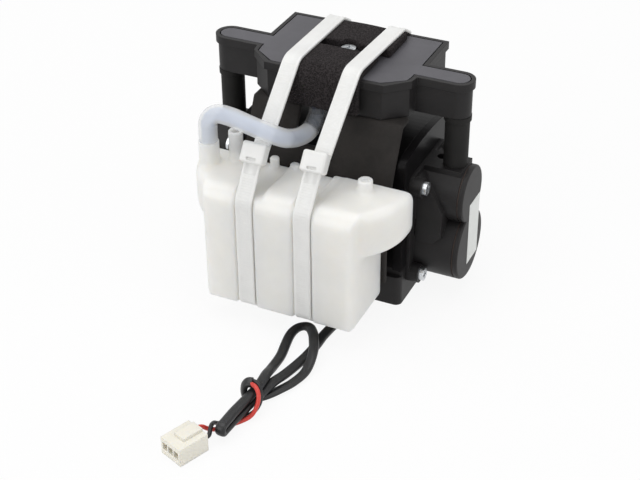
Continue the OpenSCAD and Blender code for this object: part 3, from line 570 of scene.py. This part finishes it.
def strap(middle, lean, start, pitch=1.1):
    """A flat profile carried along the taut band, from the head down over the tank and round to the
    underside of the head. Its outer face is drawn in between the two edges by a saw tooth of the length
    run, and more in the neck by the head. The whole leans along x with y."""
    headed = np.vstack([tie_rounds[:4], [(*start, 0)], tie_rounds[4:]])
    end, off = head_frame(start)[3:]
    sides = []
    for out in strap_faces:
        down, back = taut_band(headed, out).reshape(8, -1, 2), taut_band(tie_rounds, out).reshape(7, -1, 2)
        sides.append(np.vstack([down[4, -1:], *down[5:], *back[:4], [end + out * off]]))
    inner, outer = sides
    run = np.concatenate([[0], np.cumsum(np.linalg.norm(np.diff((inner + outer) / 2, axis=0), axis=1))])
    rings = int(round(run[-1] / pitch)) * 5 + 1
    at = np.linspace(0, run[-1], rings)
    inner = np.stack([np.interp(at, run, inner[:, i]) for i in (0, 1)], axis=1)
    outer = np.stack([np.interp(at, run, outer[:, i]) for i in (0, 1)], axis=1)
    sunk = np.where(at < 9, 0.35, 0.12 * (np.arange(rings) % 5) / 4)
    across = np.array([-3.8, -3.5, -2.6, -2.3, 2.3, 2.6, 3.5, 3.8, 3.8, 3.5, -3.5, -3.8])
    lift = np.array([0.85, 1, 1, 0.95, 0.95, 1, 1, 0.85, 0.15, 0, 0, 0.15])
    inlay = np.array([0, 0, 0, 1, 1, 0, 0, 0, 0, 0, 0, 0])
    height = lift - sunk[:, None] * inlay
    flat = inner[:, None] + (outer - inner)[:, None] * height[..., None]
    points = np.concatenate([(middle + lean * flat[..., :1]) + across[:, None], flat], axis=-1)
    return points.reshape(-1, 3), rings, len(across)


def capped(points, rings, sides):
    """Faces of a sleeve with both ends closed."""
    ends = [np.arange(sides)[::-1], len(points) - sides + np.arange(sides)]
    return [*grid_faces(rings, sides, False).tolist(), *[e.tolist() for e in ends]]


def lock(p):
    """The locking head in its own axes, across, along and off the strap: a rounded block with a small
    slot low in its face, and the strap's tail coming up into it."""
    block = round_box(p, (-5.3, -4.4, 0), (5.3, 4.4, 5.6), 1.1)
    slot = round_box(p, (-2.1, -3.3, 4.6), (2.1, -2.2, 8), 0.3)
    tail = round_box(p, (-3.8, 0, -2), (3.8, 1.4, 2), 0.2)
    return np.minimum(trimmed(block, -slot, 0.3), tail)


def cable_tie(name, middle, lean, start, node):
    """A strap and its head."""
    points, rings, sides = strap(middle, lean, start)
    faces = capped(points, rings, sides)
    head, quads = skin(lock, (-6.4, -5.4, -3), (6.4, 5.4, 6.8), 0.35)
    centre, up, normal = head_frame(start)[:3]
    flat = centre + head[:, 1:2] * up + head[:, 2:] * normal
    head = np.column_stack([middle + lean * flat[:, 0] + head[:, 0], flat])
    faces += (quads + len(points)).tolist()
    return piece(name, np.vstack([points, head]), faces, tie_nylon, "tie_nylon", node)


tie_nylon = moulded("tie_nylon", (0.80, 0.80, 0.785), 0.34, grain=1.2, depth=0.015, edge=0, spread=0.03,
                    Subsurface_Weight=0.15, Subsurface_Radius=(1.0, 0.95, 0.88), Subsurface_Scale=0.002)
cable_tie("cable_tie_left", -tie_at, tie_leans[0], (-53.5, 78.8), "tie_left")
cable_tie("cable_tie_right", tie_at, tie_leans[1], (-52.2, 80.2), "tie_right")


# Bridge hose. A clear silicone tube, 8 mm over a 5.5 mm bore, pushed over the nipple under the
# manifold and over the tank's larger spigot. It passes under the front run of the ties.
def smooth_route(points, steps):
    """A smooth curve through points: between two of them, the cubic whose slope at each point is half
    the way between that point's neighbours."""
    p = np.array(points, float)
    p = np.vstack([p[:1], p, p[-1:]])
    t = (np.arange(steps) / steps)[:, None]
    a, b, c, d = (p[i : len(p) - 3 + i, None] for i in range(4))
    curve = b + (c - a) * t / 2 + (2 * a - 5 * b + 4 * c - d) * t**2 / 2 + (3 * b - a - 3 * c + d) * t**3 / 2
    return np.vstack([curve.reshape(-1, 3), p[-1:]])


def carried(route, start):
    """The side and top directions along a route: the side starts as given and is carried on without twist."""
    along = np.gradient(route, axis=0)
    along /= np.linalg.norm(along, axis=1)[:, None]
    side = [np.array(start, float)]
    for t in along:
        square = side[-1] - (side[-1] @ t) * t
        side.append(square / np.linalg.norm(square))
    side = np.array(side[1:])
    return side, np.cross(along, side)


def sleeve(route, start, profile):
    """A closed profile, points as side and top offsets, carried along a route."""
    side, top = carried(route, start)
    offsets = profile[:, 0, None] * side[:, None] + profile[:, 1, None] * top[:, None]
    return (route[:, None] + offsets).reshape(-1, 3)


def oval(wide, high, sides, square=1.0):
    """An oval: half the width times the cosine and half the height times the sine of an angle, each
    raised to a power that squares the oval off as it falls below one."""
    a = np.arange(sides) * 2 * np.pi / sides
    unit = np.stack([np.cos(a), np.sin(a)], axis=1)
    return np.array([wide / 2, high / 2]) * np.sign(unit) * np.abs(unit) ** square


hose_route = smooth_route([
    (-3.5, -17, 86), (-3.5, -17, 82.6), (-4, -19.5, 78.8), (-4.7, -25, 76.5), (-5.3, -33, 78), (-5.6, -41, 81.5),
    (-6, -46.4, 84.6), (-10.5, -51.6, 88.8), (-18, -53, 91.3), (-26.5, -52, 92.4), (-34.2, -49.2, 90.6),
    (-39.2, -47.6, 86.2), (-40, -47.5, 81), (-40, -47.5, 76.1)], 8)
hose_wide, hose_bore, hose_sides = 8, 5.5, 32
outside = sleeve(hose_route, (1, 0, 0), oval(hose_wide, hose_wide, hose_sides))
bore = sleeve(hose_route, (1, 0, 0), oval(hose_bore, hose_bore, hose_sides))
count = len(outside)
walls = grid_faces(len(hose_route), hose_sides, False)
around = np.arange(hose_sides)
nxt = (around + 1) % hose_sides
far = count - hose_sides
rims = [np.stack([around, count + around, count + nxt, nxt], 1),
        np.stack([far + nxt, count + far + nxt, count + far + around, far + around], 1)]
clear_hose, tree, main, place = shader("clear_hose", IOR=1.42)
inner = add(tree, "Attribute", attribute_name="bore").outputs["Fac"]
tree.links.new(shades(tree, inner, (0.95, 0.95, 0.935), (0.4, 0.55, 0.85), 0, 1), main.inputs["Base Color"])
milk = add(tree, "Attribute", attribute_name="milk").outputs["Fac"]
tree.links.new(milk, main.inputs["Alpha"])
haze = add(tree, "TexNoise", {"Vector": place, "Scale": 160.0, "Detail": 3.0})
cloud = add(tree, "MapRange", {"Value": haze.outputs["Fac"], "To Min": 0.1, "To Max": 0.25})
tree.links.new(cloud.outputs["Result"], main.inputs["Roughness"])
relief(tree, main, haze.outputs["Fac"], 0.03)
hose = piece("bridge_hose", np.vstack([outside, bore]), np.vstack([walls, walls[:, ::-1] + count, *rims]),
             clear_hose, "clear_hose", "hose")
clear_rings, fading_rings = 21, 4
along = np.clip((np.arange(len(hose_route)) - clear_rings) / fading_rings, 0, 1).repeat(hose_sides)
for name, value in (("bore", np.repeat([0, 1], count)),
                    ("milk", np.concatenate([0.09 + 0.37 * along, 0.06 + 0.38 * along]))):
    hose.data.attributes.new(name, "FLOAT", "POINT").data.foreach_set("value", value.astype(np.float32))


# Lead. A flat black twin lead in a soft vinyl sheath, out through a rubber grommet in the base
# and under the tank. It is folded, goes round one loop, passes under the fold and curls up over it.
def wire(name, route, profile, finish, slot, node):
    """A closed cord of that profile along a route."""
    points = sleeve(route, (1, 0, 0), profile)
    return piece(name, points, capped(points, len(route), len(profile)), finish, slot, node)


fold_at, fold_radius = (10.35, -135.8, 5.1), 1.7
fold = [(fold_at[0], fold_at[1] - fold_radius * np.cos(a), fold_at[2] + fold_radius * np.sin(a))
        for a in np.radians(np.arange(-90, 91, 30))]
lead_route = smooth_route([
    (23, -30.6, 6), (23, -36, 5.2), (22, -45, 2.2), (20, -54, 1.5), (19.2, -62, 1.5), (19.2, -69, 1.5),
    (18.6, -77.5, 1.5), (17.2, -86, 1.6), (16, -94, 2.5), (15.1, -101, 4.05), (14.1, -108, 4.35),
    (13.1, -114.5, 4.35), (12, -121, 3.9), (11.1, -127, 3.6), (10.7, -130.6, 3.45), (10.5, -133, 3.4),
    (10.4, -134.6, 3.4), *fold, (10.4, -134.6, 6.8), (10.5, -133, 6.8), (10.6, -130.6, 6.85), (10.8, -127, 6.9),
    (11.5, -121.5, 7.1), (12.3, -114.5, 7.2), (12.5, -107, 7.2), (11.4, -100, 6.1), (10, -92, 3.3),
    (8.8, -82, 1.6), (7.2, -74, 1.5), (6.2, -68.4, 1.5), (6.1, -64.2, 1.5), (7.2, -60.9, 1.6), (9.6, -59.4, 1.9),
    (12.2, -60.5, 2.6), (14.6, -63.4, 3.7), (17.8, -68.5, 4.9), (21.8, -77.5, 4.8), (23, -87, 2.2),
    (21.2, -95, 1.5), (18.3, -101.5, 1.5), (15.4, -106.6, 1.5), (12.4, -110.2, 1.6), (10, -112.1, 2),
    (8.3, -112.8, 3.15), (7.85, -112.9, 4.9), (7.85, -112.8, 6.8), (8.2, -112.5, 8.65), (9.4, -112.1, 10.1),
    (11.25, -111.7, 10.35)], 10)
lead_wide, lead_thick = 4.4, 2.6
lead_black = moulded("lead_black", (0.011, 0.011, 0.012), 0.38, grain=0.7, depth=0.03, edge=0,
                     Specular_IOR_Level=0.4)
lead = wire("lead_cord", lead_route, oval(lead_wide, lead_thick, 28, 0.75), lead_black, "lead_black", "lead_sheath")
dress(black_rubber, "lead_grommet")


# Wires. One red and one black insulated wire come out of the sheath on top of the folded lead, go
# down its right side and under it, which holds it together, and end in the plug.
red_route = smooth_route([
    (10.2, -112.55, 10.27), (11.7, -112.85, 10.43), (14, -114, 10.4), (16.2, -116.2, 8.85), (16.7, -118.7, 5.6),
    (15.4, -121.6, 2.3), (12.6, -124.9, 1), (9.2, -129.2, 1), (6.2, -132.9, 1), (3.6, -135.2, 2.2), (2, -136.6, 3.7),
    (0.97, -138.2, 4.4), (0.09, -140.4, 4.4)], 10)
black_route = smooth_route([
    (10.2, -110.7, 10.27), (11.7, -110.75, 10.35), (13.8, -111.5, 9.95), (15.8, -113.5, 8.15), (16.6, -116.2, 5.1),
    (15.1, -119.2, 2.1), (11.9, -122.5, 1), (8.2, -126.6, 1), (5.4, -129.6, 1.2), (4.6, -132.2, 3.2),
    (5.2, -135.4, 4.6), (6.2, -138.2, 4.6), (7, -140.7, 4.4), (6.22, -142.9, 4.4)], 10)
wire_wide = 1.8
wire_red = moulded("wire_red", (0.66, 0.05, 0.035), 0.38, grain=0.8, depth=0.015, edge=0, spread=0.1)
for name, route, finish, slot, node in (
    ("wire_to_plug_red", red_route, wire_red, "wire_red", "red_wire"),
    ("wire_to_plug_black", black_route, lead_black, "lead_black", "black_wire"),
):
    made = wire(name, route, oval(wire_wide, wire_wide, 16), finish, slot, node)


# Plug. An ivory nylon housing for three crimped contacts, with two of its ways wired. The brass
# contacts are pushed in from behind until they catch.
plug_ivory = moulded("plug_ivory", (0.85, 0.82, 0.73), 0.34, grain=0.8, depth=0.012, edge=0.35, spread=0.03,
                     Subsurface_Weight=0.25, Subsurface_Radius=(1.0, 0.9, 0.7), Subsurface_Scale=0.002)
contact_brass = moulded("contact_brass", (0.66, 0.47, 0.18), 0.3, grain=0.3, depth=0.02, edge=0.1, Metallic=1.0)
dress(plug_ivory, "plug_housing")
dress(contact_brass, "plug_contacts")

for name, node in frame["nodes"].items():
    if not node.get("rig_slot"):
        part = next(s for s in frame["record"]["subparts"] if s["node"] == name)
        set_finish(node, part["material_slot"])
